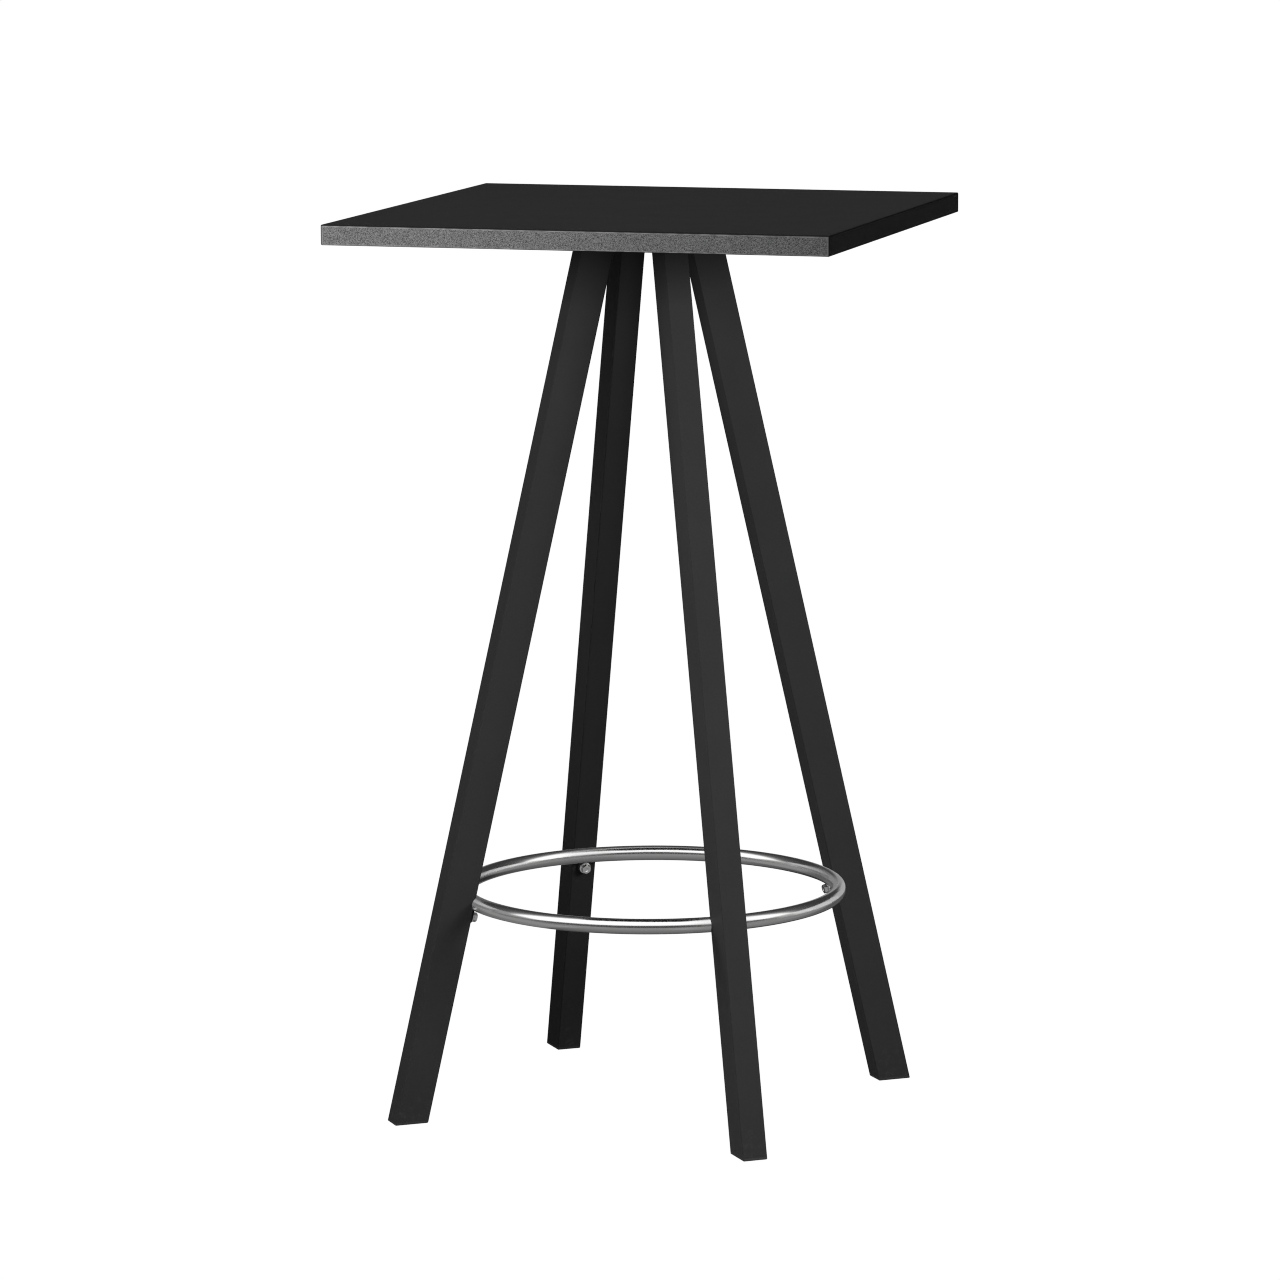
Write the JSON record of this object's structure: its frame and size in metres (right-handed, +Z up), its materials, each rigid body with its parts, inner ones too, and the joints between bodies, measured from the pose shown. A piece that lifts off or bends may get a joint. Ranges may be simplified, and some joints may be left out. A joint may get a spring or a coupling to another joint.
{
  "type": "bar height pub table",
  "caption": "Square bar-height pub table: laminated black top on splayed rectangular steel legs that bolt to a plate, with a bolted round foot ring.",
  "frame": {"origin": "on the floor, under the centre of the top and of the foot ring", "axes": "+Z up; +X along the front edge of the top to the right; +Y from the front edge to the back edge. The underframe is turned 7.3 degrees clockwise about +Z, seen from above, from the top's own axes"},
  "size_m": [0.6, 0.6, 1.07],
  "materials": {
    "core_board": "raw chipboard, hidden inside the top",
    "black_laminate": "matt black high pressure laminate",
    "black_edge_band": "grained graphite grey ABS edge band",
    "black_powder_coat": "fine textured matt black powder coat",
    "satin_steel": "satin stainless tube, brushed along its length",
    "zinc_hardware": "bright zinc plated fasteners",
    "black_foot_plastic": "moulded black polyethylene"
  },
  "bodies": {
    "root": {"tabletop_core": "core_board", "top_laminate": "black_laminate", "backing_laminate": "black_laminate", "edge_band_front": "black_edge_band", "edge_band_back": "black_edge_band", "edge_band_left": "black_edge_band", "edge_band_right": "black_edge_band", "mounting_plate": "black_powder_coat", "threaded_inserts": "zinc_hardware", "plate_screws": "zinc_hardware", "leg_front_left": "black_powder_coat", "leg_front_right": "black_powder_coat", "leg_back_right": "black_powder_coat", "leg_back_left": "black_powder_coat", "leg_flange_front_left": "black_powder_coat", "leg_flange_front_right": "black_powder_coat", "leg_flange_back_right": "black_powder_coat", "leg_flange_back_left": "black_powder_coat", "leg_flange_bolts": "zinc_hardware", "foot_insert_front_left": "black_foot_plastic", "foot_insert_front_right": "black_foot_plastic", "foot_insert_back_right": "black_foot_plastic", "foot_insert_back_left": "black_foot_plastic", "foot_ring": "satin_steel", "ring_lugs": "black_powder_coat", "ring_bolts": "zinc_hardware", "ring_rivet_nuts": "zinc_hardware"}
  },
  "joints": []
}
